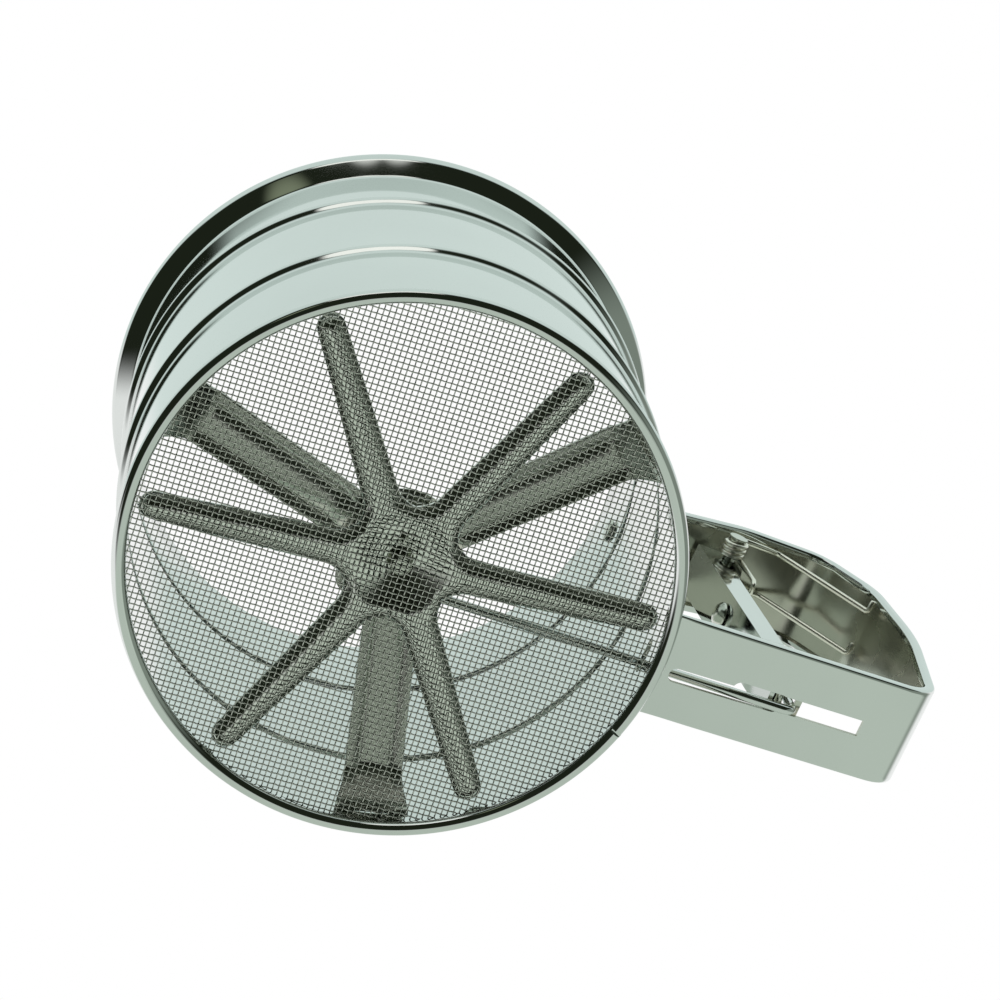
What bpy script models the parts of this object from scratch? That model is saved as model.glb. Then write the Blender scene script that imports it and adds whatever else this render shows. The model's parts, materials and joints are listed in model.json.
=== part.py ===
"""Hand-squeezed flour sifter of polished steel sheet and wire.

The cup stands on its mesh end, its axis is vertical, and the handle reaches out along +X. Squeezing the
trigger inside the handle loop pulls the rod outwards, and the rod's inner hook turns the crank and the
six-armed agitator that sweeps flour over the mesh. Lengths below are in millimetres and angles in degrees.
"""
import math

import bmesh
import bpy
from mathutils import Matrix, Vector

MM = 0.001
GAP = 0.3  # clearance left between neighbouring pieces

# Cup and mesh end
WALL_R = 48.8
WALL_T = 0.8
CUP_H = 94.0
CURL_R = 2.0
RIM_R = 52.5
BEAD_Z = (32.0, 67.5)
BEAD_HALF = 1.75
BEAD_OUT = 1.2
RIM_SLOPE = 52.0
RING_R = 50.0
RING_INNER_R = 47.4
RING_TOP = 3.4
RING_EDGE_R = 1.0
RING_SEAM_ANGLE = 16.0
SCREEN_Z = (1.6, 2.2)
SCREEN_R = 48.9
TURN_STEPS = 72

# Agitator, its shaft and its crank
ARMS = 6
ARM_PHASE = -9.0
ARM_TIP_R = 46.5
ARM_ROOT_R = 13.0
ARM_ROOT_HALF = 3.4
ARM_TIP_HALF = 2.6
WEB_R = 10.4
AGITATOR_Z = (3.4, 5.4)
SHAFT_R = 1.3
SHAFT_HOLE_R = SHAFT_R + GAP
SHAFT_HEAD_R = 1.95
SLEEVE_R = 2.95
CRANK_Z = (7.2, 8.4)
CRANK_HUB_R = 6.6
PEG_AT = (-1.1, -3.9)
PEG_R = 0.8

# Fixed spider that carries the shaft
SPIDER_PHASE = 72.8
SPIDER_HUB_R = 11.0
SPIDER_Z = (11.6, 12.8)
SPIDER_T = SPIDER_Z[1] - SPIDER_Z[0]
FOOT_BEND_R = 42.6

# Handle strip: corners of its outside face in the XZ plane, each with its bend radius
HANDLE_HALF_W = 9.8
HANDLE_T = 1.0
HEM_T = 2.2
HEM_W = 1.2
LEG_SLOPE = 0.2376
LEG_Z_AT_50 = 4.87
REACH = 105.4
HANDLE_CORNERS = (
    (50.1, 82.0, 0.0),
    (50.1, 69.9, 3.0),
    (73.5, 81.6, 20.0),
    (91.5, 84.2, 9.0),
    (101.8, 74.0, 12.0),
    (105.9, 51.0, 60.0),
    (103.2, LEG_Z_AT_50 + LEG_SLOPE * 53.2, 9.0),
    (49.1, LEG_Z_AT_50 - LEG_SLOPE * 0.9, 1.6),
    (49.1, 17.0, 0.0),
)
SLOT_Y = 0.4
SLOT_STEP, SLOT_END = 76.2, 91.4
SLOT_HALF = 1.57
SLOT_RUN = ((53.6, 1.2), (73.5, 1.0), 1.35)  # slanted part under the rod: ends and half width
SLOT_BULGE = ((66.3, 0.3), (74.4, 0.3), 1.6)

# Pull rod: hooked down through the crank and up through the slot and the tongue
ROD_R = 0.9
ROD_Z = 9.9
ROD_OUT = (77.0, 0.7)
ROD_YAW = -0.065  # sideways run of the rod per unit of outward run
HOOK_DRIFT = 0.7  # how far the hook moves sideways over the rod's travel
ROD_IN_X = -5.5
ROD_TOP = 17.6
ROD_LOW = 6.3
ROD_BEND = 1.7
ROD_HOLE_Y = (-0.7, 2.7)
ROD_HOLE_R = 1.7
CRANK_SLOT_R = (5.7, 8.25)
CRANK_SLOT_HALF = 1.65

# Trigger, its pivot and its spring
PIVOT = (70.8, 72.0)
TRIGGER_HALF_W = 4.6
TRIGGER_T = 0.9
TRIGGER_DEPTH = 5.0
WEB_TOP = (64.9, 75.4)
WEB_LOW = (73.2, 14.6)
EAR_R = 3.4
PIN_R = 1.2
PIN_HOLE_R = PIN_R + GAP
PIN_Y = (-9.7, 6.7)
BRACKET_HALF_W = 3.3
BRACKET_T = 1.1
TONGUE_HALF_W = 3.2
TONGUE_T = 0.8
TONGUE_TOP_Z = 56.0
TONGUE_END_X = 79.6
FOOT_GAP = 1.5
RIVET_Z = 49.5
SPRING_WIRE_R = 0.55
SPRING_R = 1.95
SPRING_LEG_ANGLE = 30.0
SPRING_LEG = (81.5, 80.4)
SPRING_CORNER = (99.9, 69.5)
SPRING_TIP = (100.2, 69.7)

# The origin is below the middle of the object's box, so the cup's axis stands off to -X
CUP_X = -(REACH - RIM_R) / 2.0

STEEL = (0.72, 0.75, 0.72)
FINISHES = {
    "polished_steel": (STEEL, 0.12),
    "satin_steel": ((0.66, 0.68, 0.65), 0.3),
    "bright_wire": ((0.78, 0.77, 0.68), 0.18),
    "mesh_wire": ((0.55, 0.57, 0.53), 0.35),
}


def start_scene():
    """Empty the file and make one collection for the parts and one for the cutters."""
    for old in list(bpy.data.objects):
        bpy.data.objects.remove(old, do_unlink=True)
    made = []
    for name in ("flour_sifter", "cutters"):
        group = bpy.data.collections.new(name)
        bpy.context.scene.collection.children.link(group)
        made.append(group)
    return made


PARTS, CUTTERS = start_scene()


def finish_material(part_name, finish):
    colour, roughness = FINISHES[finish]
    made = bpy.data.materials.new(part_name + "_" + finish)
    made.use_nodes = True
    shader = made.node_tree.nodes["Principled BSDF"]
    shader.inputs["Base Color"].default_value = (*colour, 1.0)
    shader.inputs["Metallic"].default_value = 1.0
    shader.inputs["Roughness"].default_value = roughness
    return made


def place(name, mesh, finish=None, at=(0.0, 0.0, 0.0)):
    """Link a mesh as a named part, or as a cutter when it has no finish. Its origin goes to at."""
    made = bpy.data.objects.new(name, mesh)
    made.location = Vector(at) * MM
    if finish is None:
        CUTTERS.objects.link(made)
        made.hide_render = True
        made.display_type = "WIRE"
    else:
        PARTS.objects.link(made)
        mesh.materials.clear()
        mesh.materials.append(finish_material(name, finish))
        mesh.shade_smooth()
        mesh.set_sharp_from_angle(angle=math.radians(35))
    return made


def on_cup(x, y, z):
    """A point given from the cup's axis, in the part's own frame."""
    return (x + CUP_X, y, z)


def around(centre, radius, start, end, steps):
    """Points on an arc, angles in degrees."""
    turns = [math.radians(start + (end - start) * i / steps) for i in range(steps + 1)]
    return [(centre[0] + radius * math.cos(a), centre[1] + radius * math.sin(a)) for a in turns]


def rounded(corners, steps=6):
    """A path through corners (x, z, bend radius), with an arc of steps chords at each bend."""
    points = [Vector(corners[0][:2])]
    for before, corner, after in zip(corners, corners[1:], corners[2:]):
        here = Vector(corner[:2])
        back = (Vector(before[:2]) - here).normalized()
        ahead = (Vector(after[:2]) - here).normalized()
        half = back.angle(ahead) / 2.0
        reach = corner[2] / math.tan(half)
        centre = here + (back + ahead).normalized() * (corner[2] / math.sin(half))
        first, last = here + back * reach - centre, here + ahead * reach - centre
        sweep = first.angle_signed(last)
        for i in range(steps + 1):
            turn = Matrix.Rotation(-sweep * i / steps, 2)
            points.append(centre + turn @ first)
    points.append(Vector(corners[-1][:2]))
    return points


def turned(name, profile, finish, at=(0.0, 0.0), closed=True, steps=TURN_STEPS):
    """Turn a profile of (radius, z) round a vertical axis. It runs down its outer side."""
    mesh = bpy.data.meshes.new(name)
    count = len(profile)
    edges = [(i, (i + 1) % count) for i in range(count if closed else count - 1)]
    mesh.from_pydata([(r * MM, 0.0, z * MM) for r, z in profile], edges, [])
    made = place(name, mesh, finish, on_cup(at[0], at[1], 0.0))
    screw = made.modifiers.new("turn", "SCREW")
    screw.steps = screw.render_steps = steps
    screw.use_merge_vertices = True
    screw.merge_threshold = 0.000001
    screw.use_smooth_shade = True
    return made


def sleeve(name, inner, outer, z, finish, at=(0.0, 0.0), steps=32):
    """A plain ring or washer between two heights."""
    profile = [(inner, z[1]), (outer, z[1]), (outer, z[0]), (inner, z[0])]
    return turned(name, profile, finish, at, steps=steps)


def to_mesh(made, finish):
    """Replace a curve object by its closed mesh."""
    bpy.context.view_layer.update()
    evaluated = made.evaluated_get(bpy.context.evaluated_depsgraph_get())
    mesh = bpy.data.meshes.new_from_object(evaluated)
    work = bmesh.new()
    work.from_mesh(mesh)
    bmesh.ops.remove_doubles(work, verts=work.verts, dist=0.000001)
    bmesh.ops.recalc_face_normals(work, faces=work.faces)
    work.to_mesh(mesh)
    work.free()
    name, matrix = made.name, made.matrix_world.copy()
    bpy.data.objects.remove(made, do_unlink=True)
    solid = place(name, mesh, finish)
    solid.matrix_world = matrix
    return solid


def plate(name, loops, depth, middle, finish, upright=False):
    """A flat outline of one or more loops, given thickness depth about its middle.

    A lying plate's loops are (x, y) from the cup's axis and its middle is a height. An upright plate's
    loops are (x, z) and its middle is a y.
    """
    curve = bpy.data.curves.new(name, "CURVE")
    curve.dimensions = "2D"
    curve.fill_mode = "BOTH"
    curve.extrude = depth / 2.0 * MM
    for loop in loops:
        spline = curve.splines.new("POLY")
        spline.points.add(len(loop) - 1)
        for point, (a, b) in zip(spline.points, loop):
            point.co = (a * MM, b * MM, 0.0, 1.0)
        spline.use_cyclic_u = True
    made = bpy.data.objects.new(name, curve)
    (CUTTERS if finish is None else PARTS).objects.link(made)
    if upright:
        made.rotation_euler.x = math.pi / 2.0
        made.location = Vector(on_cup(0.0, middle, 0.0)) * MM
    else:
        made.location = Vector(on_cup(0.0, 0.0, middle)) * MM
    return to_mesh(made, finish)


def wire(name, points, radius, finish):
    """A round wire along points from the cup's axis, with closed ends."""
    curve = bpy.data.curves.new(name, "CURVE")
    curve.dimensions = "3D"
    curve.bevel_depth = radius * MM
    curve.bevel_resolution = 2
    curve.use_fill_caps = True
    spline = curve.splines.new("POLY")
    spline.points.add(len(points) - 1)
    for point, place_at in zip(spline.points, points):
        point.co = (*(Vector(on_cup(*place_at)) * MM), 1.0)
    made = bpy.data.objects.new(name, curve)
    (CUTTERS if finish is None else PARTS).objects.link(made)
    return to_mesh(made, finish)


def cylinder(name, radius, start, end, finish=None, segments=24):
    """A plain round bar between two points from the cup's axis."""
    first, last = Vector(on_cup(*start)) * MM, Vector(on_cup(*end)) * MM
    work = bmesh.new()
    bmesh.ops.create_cone(work, cap_ends=True, segments=segments, radius1=radius * MM,
                          radius2=radius * MM, depth=(last - first).length)
    mesh = bpy.data.meshes.new(name)
    work.to_mesh(mesh)
    work.free()
    made = place(name, mesh, finish)
    made.matrix_world = Matrix.LocRotScale((first + last) / 2.0,
                                           (last - first).to_track_quat("Z", "Y"), None)
    return made


def box(name, low, high, finish=None):
    """A box between two corners from the cup's axis."""
    low, high = Vector(on_cup(*low)), Vector(on_cup(*high))
    work = bmesh.new()
    bmesh.ops.create_cube(work, size=1.0)
    bmesh.ops.scale(work, verts=work.verts, vec=(high - low) * MM)
    mesh = bpy.data.meshes.new(name)
    work.to_mesh(mesh)
    work.free()
    return place(name, mesh, finish, (low + high) / 2.0)


def combine(target, other, how):
    """Boolean other into target, and hide other among the cutters."""
    step = target.modifiers.new(how.lower() + "_" + other.name, "BOOLEAN")
    step.operation = how
    step.solver = "EXACT"
    step.object = other
    if other.name in PARTS.objects:
        PARTS.objects.unlink(other)
        CUTTERS.objects.link(other)
    other.hide_render = True
    other.display_type = "WIRE"


def sweep(name, path, section, finish, shape):
    """Carry a closed section (y, depth) along a path (x, z); depth is to the path's right.

    section gives its points for a path point, and shape moves each (x, y, z) before it is placed.
    """
    work = bmesh.new()
    rows = []
    for i, here in enumerate(path):
        before, after = path[max(i - 1, 0)], path[min(i + 1, len(path) - 1)]
        into = (here - before).normalized() if i else (after - here).normalized()
        out = (after - here).normalized() if i < len(path) - 1 else into
        along = (into + out).normalized()
        stretch = 1.0 / max(along.dot(into), 0.5)
        right = Vector((along.y, -along.x)) * stretch
        row = []
        for y, depth in section(here):
            x, z = here + right * depth
            row.append(work.verts.new(Vector(on_cup(*shape(x, y, z))) * MM))
        rows.append(row)
    count = len(rows[0])
    for first, second in zip(rows, rows[1:]):
        for j in range(count):
            k = (j + 1) % count
            work.faces.new((first[j], first[k], second[k], second[j]))
    work.faces.new(rows[0])
    work.faces.new(reversed(rows[-1]))
    bmesh.ops.recalc_face_normals(work, faces=work.faces)
    mesh = bpy.data.meshes.new(name)
    work.to_mesh(mesh)
    work.free()
    return place(name, mesh, finish)


def leg_outer_z(x):
    """Height of the lower leg's outside face."""
    return LEG_Z_AT_50 + LEG_SLOPE * (x - 50.0)


def leg_inner_z(x):
    return leg_outer_z(x) + HANDLE_T * math.hypot(1.0, LEG_SLOPE)


def capsule(start, end, radius, steps=6):
    """A closed loop round a straight run from start to end."""
    run = math.degrees(math.atan2(end[1] - start[1], end[0] - start[0]))
    return (around(end, radius, run - 90.0, run + 90.0, steps)
            + around(start, radius, run + 90.0, run + 270.0, steps))


def circle(centre, radius, steps=24):
    return around(centre, radius, 0.0, 360.0, steps)[:-1]


def bead_offset(z):
    """How far the wall stands out at a height, over its two raised beads."""
    for middle in BEAD_Z:
        if abs(z - middle) < BEAD_HALF:
            return BEAD_OUT * math.cos(math.pi / 2.0 * (z - middle) / BEAD_HALF) ** 2
    return 0.0


def wall_heights():
    """Heights at which the wall's profile has a point, from the bottom up."""
    heights = [RING_TOP + GAP]
    for middle in BEAD_Z:
        heights += [middle + BEAD_HALF * step / 2.5 for step in (-2.5, -1.5, -0.5, 0.5, 1.5, 2.5)]
    return heights


def build_cup():
    """Wall with two raised beads, sloping out under its rolled rim."""
    curl_at = (RIM_R - CURL_R, CUP_H - CURL_R)
    heights = wall_heights()
    top = curl_at[1] + 0.4
    profile = [(WALL_R - WALL_T, top)]
    profile += around(curl_at, CURL_R, 150.0, -RIM_SLOPE, 9)
    slope = 1.0 / math.tan(math.radians(RIM_SLOPE))
    foot = profile[-1][1] - (profile[-1][0] - WALL_R) * slope
    profile += [(WALL_R + 0.4, foot + 0.4 * slope), (WALL_R + 0.1, foot - 0.1), (WALL_R, foot - 0.6)]
    profile += [(WALL_R + bead_offset(z), z) for z in reversed(heights)]
    profile += [(WALL_R - WALL_T + bead_offset(z), z) for z in heights]
    cup = turned("cup_body", profile, "polished_steel")
    combine(cup, rod_hole_cutter("cup_rod_hole", 44.0, 52.0, ROD_HOLE_R), "DIFFERENCE")
    rivet_at = handle_rivet_height()
    combine(cup, cylinder("cup_rivet_hole", 2.0, (44.0, 0.0, rivet_at), (52.0, 0.0, rivet_at)),
            "DIFFERENCE")


def handle_rivet_height():
    return (HANDLE_CORNERS[0][1] + HANDLE_CORNERS[1][1]) / 2.0


def rod_hole_cutter(name, start, end, radius):
    """An oval bar across the wall, for the rod to pass and swing through."""
    loop = capsule((ROD_HOLE_Y[0], 0.0), (ROD_HOLE_Y[1], 0.0), radius)
    work = bmesh.new()
    ends = []
    for x in (start, end):
        ends.append([work.verts.new(Vector(on_cup(x, y, ROD_Z + z)) * MM) for y, z in loop])
    work.faces.new(ends[0])
    work.faces.new(reversed(ends[1]))
    count = len(loop)
    for j in range(count):
        k = (j + 1) % count
        work.faces.new((ends[0][j], ends[1][j], ends[1][k], ends[0][k]))
    bmesh.ops.recalc_face_normals(work, faces=work.faces)
    mesh = bpy.data.meshes.new(name)
    work.to_mesh(mesh)
    work.free()
    return place(name, mesh)


def build_mesh_ring():
    lip = SCREEN_Z[0] - GAP
    groove = SCREEN_Z[1] + GAP
    profile = [(RING_INNER_R, RING_TOP), (RING_R - 0.4, RING_TOP), (RING_R, RING_TOP - 0.4)]
    profile += around((RING_R - RING_EDGE_R, RING_EDGE_R), RING_EDGE_R, 0.0, -90.0, 3)
    profile += around((RING_INNER_R + RING_EDGE_R, RING_EDGE_R), RING_EDGE_R, -90.0, -180.0, 3)
    profile += [(SCREEN_R + GAP, lip), (SCREEN_R + GAP, groove), (RING_INNER_R, groove)]
    ring = turned("mesh_ring", profile, "polished_steel")
    seam = math.radians(RING_SEAM_ANGLE)
    cut = box("ring_seam", (-2.0, -0.3, -1.0), (2.0, 0.3, 1.0))
    middle = RING_R - 0.2
    cut.location = Vector(on_cup(middle * math.cos(seam), middle * math.sin(seam), 0.0)) * MM
    cut.rotation_euler.z = seam
    combine(ring, cut, "DIFFERENCE")


def build_mesh_screen():
    profile = [(0.0, SCREEN_Z[1]), (SCREEN_R, SCREEN_Z[1]), (SCREEN_R, SCREEN_Z[0]), (0.0, SCREEN_Z[0])]
    turned("mesh_screen", profile, "mesh_wire", closed=False)


def agitator_outline():
    points = []
    tip_centre = ARM_TIP_R - ARM_TIP_HALF
    for arm in range(ARMS):
        turn = Matrix.Rotation(math.radians(ARM_PHASE + arm * 360.0 / ARMS), 2)
        half_step = 180.0 / ARMS
        stretch = [(ARM_ROOT_R, -ARM_ROOT_HALF)]
        stretch += around((tip_centre, 0.0), ARM_TIP_HALF, -90.0, 90.0, 8)
        stretch += [(ARM_ROOT_R, ARM_ROOT_HALF)]
        stretch += around((0.0, 0.0), WEB_R, half_step - 9.0, half_step + 9.0, 2)
        points += [tuple(turn @ Vector(point)) for point in stretch]
    return points


def build_agitator():
    loops = [agitator_outline(), circle((0.0, 0.0), SHAFT_HOLE_R), circle(PEG_AT, PEG_R + GAP, 16)]
    thickness = AGITATOR_Z[1] - AGITATOR_Z[0]
    plate("agitator", loops, thickness, sum(AGITATOR_Z) / 2.0, "polished_steel")


def build_shaft():
    """Shaft with a rivet head under the agitator and a groove for its clip above the spider."""
    clip_low, clip_high = SPIDER_Z[1] + 1.4, SPIDER_Z[1] + 2.2
    groove = SHAFT_R - 0.5
    foot = AGITATOR_Z[0] - GAP
    profile = [(0.0, clip_high + 1.4), (SHAFT_R - 0.3, clip_high + 1.4), (SHAFT_R, clip_high + 1.1),
               (SHAFT_R, clip_high), (groove, clip_high), (groove, clip_low), (SHAFT_R, clip_low),
               (SHAFT_R, foot), (SHAFT_HEAD_R, foot), (SHAFT_HEAD_R - 0.3, foot - 0.6), (0.0, foot - 0.6)]
    turned("agitator_shaft", profile, "satin_steel", closed=False, steps=32)
    clip = sleeve("shaft_clip", groove + 0.15, 3.0, (clip_low + 0.1, clip_high - 0.1), "satin_steel")
    combine(clip, box("clip_mouth", (0.0, -0.7, clip_low - 1.0), (5.0, 0.7, clip_high + 1.0)),
            "DIFFERENCE")
    sleeve("shaft_washer", SHAFT_HOLE_R, 4.4, (SPIDER_Z[1] + GAP, clip_low - GAP), "satin_steel")
    sleeve("crank_spacer", SHAFT_HOLE_R, SLEEVE_R, (AGITATOR_Z[1] + GAP, CRANK_Z[0] - GAP), "satin_steel")
    sleeve("shaft_bush", SHAFT_HOLE_R, SLEEVE_R, (CRANK_Z[1] + GAP, SPIDER_Z[0] - GAP), "satin_steel")


def rod_in():
    """Where the inner hook stands at rest, from the cup's axis."""
    return (ROD_IN_X, ROD_OUT[1] + ROD_YAW * (ROD_IN_X - ROD_OUT[0]))


def build_crank():
    hook = rod_in()
    angle = math.atan2(hook[1], hook[0])
    ray = Vector((math.cos(angle), math.sin(angle)))
    slot = capsule(ray * CRANK_SLOT_R[0], ray * CRANK_SLOT_R[1], CRANK_SLOT_HALF)
    turn = math.degrees(angle)
    end_half = CRANK_SLOT_HALF + 2.2
    outline = around(ray * CRANK_SLOT_R[1], end_half, turn - 75.0, turn + 75.0, 10)
    outline += around((0.0, 0.0), CRANK_HUB_R, turn + 75.0, turn + 285.0, 20)
    loops = [outline, slot, circle((0.0, 0.0), SHAFT_HOLE_R), circle(PEG_AT, PEG_R + GAP, 16)]
    plate("crank_plate", loops, CRANK_Z[1] - CRANK_Z[0], sum(CRANK_Z) / 2.0, "satin_steel")
    sleeve_z = (AGITATOR_Z[0] - 0.5, CRANK_Z[1] + 0.15)
    profile = [(0.0, sleeve_z[1]), (PEG_R, sleeve_z[1]), (PEG_R, sleeve_z[0]), (0.0, sleeve_z[0])]
    turned("crank_peg", profile, "satin_steel", PEG_AT, closed=False, steps=16)


def ribbon(name, spine, thickness):
    """A flat strip along +X whose middle follows spine: (x, z, half width) rows."""
    work = bmesh.new()
    rows = []
    for i, (x, z, half) in enumerate(spine):
        before, after = spine[max(i - 1, 0)], spine[min(i + 1, len(spine) - 1)]
        along = Vector((after[0] - before[0], after[1] - before[1])).normalized()
        up = Vector((-along.y, along.x)) * thickness / 2.0
        rows.append([work.verts.new(Vector((x + up.x * s, half * t, z + up.y * s)) * MM)
                     for s, t in ((1, -1), (1, 1), (-1, 1), (-1, -1))])
    for first, second in zip(rows, rows[1:]):
        for j in range(4):
            k = (j + 1) % 4
            work.faces.new((first[j], first[k], second[k], second[j]))
    work.faces.new(rows[0])
    work.faces.new(reversed(rows[-1]))
    bmesh.ops.recalc_face_normals(work, faces=work.faces)
    mesh = bpy.data.meshes.new(name)
    work.to_mesh(mesh)
    work.free()
    return place(name, mesh)


def build_spider():
    """Flat hub and three flat arms, with feet bent down and outwards on to the wall."""
    middle = sum(SPIDER_Z) / 2.0
    hub = plate("spider_bracket", [circle((0.0, 0.0), SPIDER_HUB_R, 48)], SPIDER_T, middle,
                "satin_steel")
    spine = [(SPIDER_HUB_R - 4.0, middle, 4.6), (FOOT_BEND_R - 0.6, middle, 5.1),
             (FOOT_BEND_R + 0.6, middle - 0.5, 5.2), (46.1, 8.9, 6.1), (46.7, 8.0, 6.4), (46.7, 6.2, 6.6)]
    for arm in range(3):
        blade = ribbon("spider_arm_%d" % (arm + 1), spine, SPIDER_T)
        blade.location = Vector(on_cup(0.0, 0.0, 0.0)) * MM
        blade.rotation_euler.z = math.radians(SPIDER_PHASE + arm * 120.0)
        combine(hub, blade, "UNION")
    reach = SPIDER_Z[0] - 1.0, SPIDER_Z[1] + 1.0
    combine(hub, cylinder("spider_shaft_hole", SHAFT_HOLE_R, (0.0, 0.0, reach[0]), (0.0, 0.0, reach[1]),
                          segments=32), "DIFFERENCE")


def build_rod():
    """Straight wire from crank to slot, hooked down at its inner end and up at its outer end."""
    inner, outer = rod_in(), ROD_OUT
    along = (Vector(outer) - Vector(inner)).normalized()
    length = (Vector(outer) - Vector(inner)).length
    corners = ((0.0, ROD_LOW, 0.0), (0.0, ROD_Z, ROD_BEND), (length, ROD_Z, ROD_BEND),
               (length, ROD_TOP, 0.0))
    points = []
    for run, z in rounded(corners, 4):
        points.append((inner[0] + along.x * run, inner[1] + along.y * run, z))
    wire("pull_rod", points, ROD_R, "polished_steel")


def wrap_to_wall(x, y, z):
    """Pull the strip's ends back to the round wall, fading out along the legs."""
    drop = WALL_R - math.sqrt(WALL_R ** 2 - y ** 2)
    share = min(max((60.0 - x) / 9.0, 0.0), 1.0)
    return (x - drop * share, y, z)


def hemmed_section(here):
    """The strip's section: flat against the wall, with thicker turned edges round the loop."""
    inner, hem = HANDLE_HALF_W - HEM_W, HANDLE_HALF_W
    share = min(max((here.x - 52.0) / 5.0, 0.01), 1.0)
    thick = HANDLE_T + (HEM_T - HANDLE_T) * share
    section = [(y, 0.0) for y in (-hem, -inner, -inner / 2.0, 0.0, inner / 2.0, inner, hem)]
    section += [(hem, thick), (inner, thick), (inner, HANDLE_T), (inner / 2.0, HANDLE_T),
                (0.0, HANDLE_T), (-inner / 2.0, HANDLE_T), (-inner, HANDLE_T), (-inner, thick),
                (-hem, thick)]
    return section


def build_handle():
    strip = sweep("handle_strip", handle_path(), hemmed_section, "polished_steel", wrap_to_wall)
    travel = [(SLOT_STEP - 3.0, SLOT_Y - SLOT_HALF), (SLOT_END, SLOT_Y - SLOT_HALF),
              (SLOT_END, SLOT_Y + SLOT_HALF), (SLOT_STEP - 3.0, SLOT_Y + SLOT_HALF)]
    for name, loop in (("slot_run", capsule(*SLOT_RUN)), ("slot_bulge", capsule(*SLOT_BULGE)),
                       ("slot_travel", travel)):
        cut = plate(name, [loop], 30.0, 3.0, None)
        combine(strip, cut, "DIFFERENCE")
    combine(strip, rod_hole_cutter("handle_rod_hole", 46.0, 56.0, ROD_HOLE_R + 0.4), "DIFFERENCE")
    rivet_at = handle_rivet_height()
    combine(strip, cylinder("handle_rivet_hole", 2.0, (46.0, 0.0, rivet_at), (54.0, 0.0, rivet_at)),
            "DIFFERENCE")
    seat, up = bracket_seat()
    low, high = seat - up * 3.0, seat + up * 5.0
    combine(strip, cylinder("bracket_rivet_hole", 1.5, (low.x, 0.0, low.y), (high.x, 0.0, high.y)),
            "DIFFERENCE")


def handle_path():
    return rounded(HANDLE_CORNERS)


def upper_leg_inner(x):
    """Height of the upper leg's inside face on its straight rise from the wall."""
    (x0, z0, _), (x1, z1, _) = HANDLE_CORNERS[1:3]
    slope = (z1 - z0) / (x1 - x0)
    return z0 + slope * (x - x0) - HANDLE_T * math.hypot(1.0, slope)


def bracket_seat():
    """Middle of the bracket's seat under the upper leg, and the leg's upward normal, in XZ."""
    x = 69.6
    rise = Vector((HANDLE_CORNERS[2][0] - HANDLE_CORNERS[1][0], HANDLE_CORNERS[2][1] - HANDLE_CORNERS[1][1]))
    rise.normalize()
    up = Vector((-rise.y, rise.x))
    return Vector((x, upper_leg_inner(x))) - up * GAP, up


def rivet(name, start, end, radius, head, finish="satin_steel"):
    """A rivet along start to end (x, z): domed head at start, flat tail at end."""
    first, last = Vector((start[0], 0.0, start[1])), Vector((end[0], 0.0, end[1]))
    length = (last - first).length
    dome = [(0.0, length + head[1])]
    dome += [(head[0] * math.sin(math.radians(a)), length + head[1] * math.cos(math.radians(a)))
             for a in (25.0, 50.0, 75.0, 90.0)]
    profile = dome + [(radius, length), (radius, 0.0), (head[0] * 0.8, 0.0),
                      (head[0] * 0.7, -head[1] * 0.5), (0.0, -head[1] * 0.5)]
    made = turned(name, profile, finish, closed=False, steps=24)
    made.location = Vector(on_cup(*last)) * MM
    made.rotation_euler = (first - last).to_track_quat("Z", "Y").to_euler()
    return made


def build_rivets():
    at = handle_rivet_height()
    rivet("handle_rivet", (WALL_R + 1.0 + 2 * GAP + HANDLE_T - 0.7, at), (WALL_R - WALL_T - GAP, at),
          1.7, (2.9, 1.1))
    seat, up = bracket_seat()
    outside = seat + up * (2 * GAP + HANDLE_T)
    inside = seat - up * (BRACKET_T + GAP)
    rivet("bracket_rivet", outside, inside, 1.2, (2.4, 0.9))
    face, out = web_frame(RIVET_Z)
    rivet("trigger_rivet", face - out * GAP, face + out * (TRIGGER_T + TONGUE_T + 2 * GAP),
          1.2, (2.6, 1.5))


def build_bracket():
    """Two ears hanging from a seat riveted under the upper leg, with the pivot pin through them."""
    seat, up = bracket_seat()
    along = Vector((up.y, -up.x))
    left, right = seat - along * 2.8, seat + along * 4.6
    outline = [tuple(left), tuple(right)]
    outline += around(PIVOT, EAR_R - 0.3, 20.0, -150.0, 10)
    ears = plate("pivot_bracket", [outline, circle(PIVOT, PIN_HOLE_R, 20)], 2 * BRACKET_HALF_W, 0.0,
                 "satin_steel", upright=True)
    gap = box("bracket_gap", (-12.0, BRACKET_T - BRACKET_HALF_W, -30.0),
              (12.0, BRACKET_HALF_W - BRACKET_T, 0.0))
    under = seat - up * BRACKET_T
    gap.location = (Vector(on_cup(under.x, 0.0, under.y)) + Vector((up.x, 0.0, up.y)) * -15.0) * MM
    gap.rotation_euler.y = math.atan2(up.x, up.y)
    combine(ears, gap, "DIFFERENCE")
    low, high = seat - up * 4.0, seat + up * 2.0
    combine(ears, cylinder("bracket_seat_hole", 1.5, (low.x, 0.0, low.y), (high.x, 0.0, high.y)),
            "DIFFERENCE")


def web_frame(z):
    """A point of the trigger's cup-side face at a height, and the direction out from the cup."""
    top, low = Vector(WEB_TOP), Vector(WEB_LOW)
    along = (low - top).normalized()
    point = top + (low - top) * (top.y - z) / (top.y - low.y)
    return point, Vector((-along.y, along.x))


def trigger_outline(depth, ear_r):
    top, out = web_frame(WEB_TOP[1])
    low, _ = web_frame(WEB_LOW[1])
    outline = [tuple(top), tuple(low), tuple(low + out * depth)]
    join, _ = web_frame(61.0)
    outline += [tuple(join + out * depth)]
    outline += around(PIVOT, ear_r, -35.0, 100.0, 8)
    return outline


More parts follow.
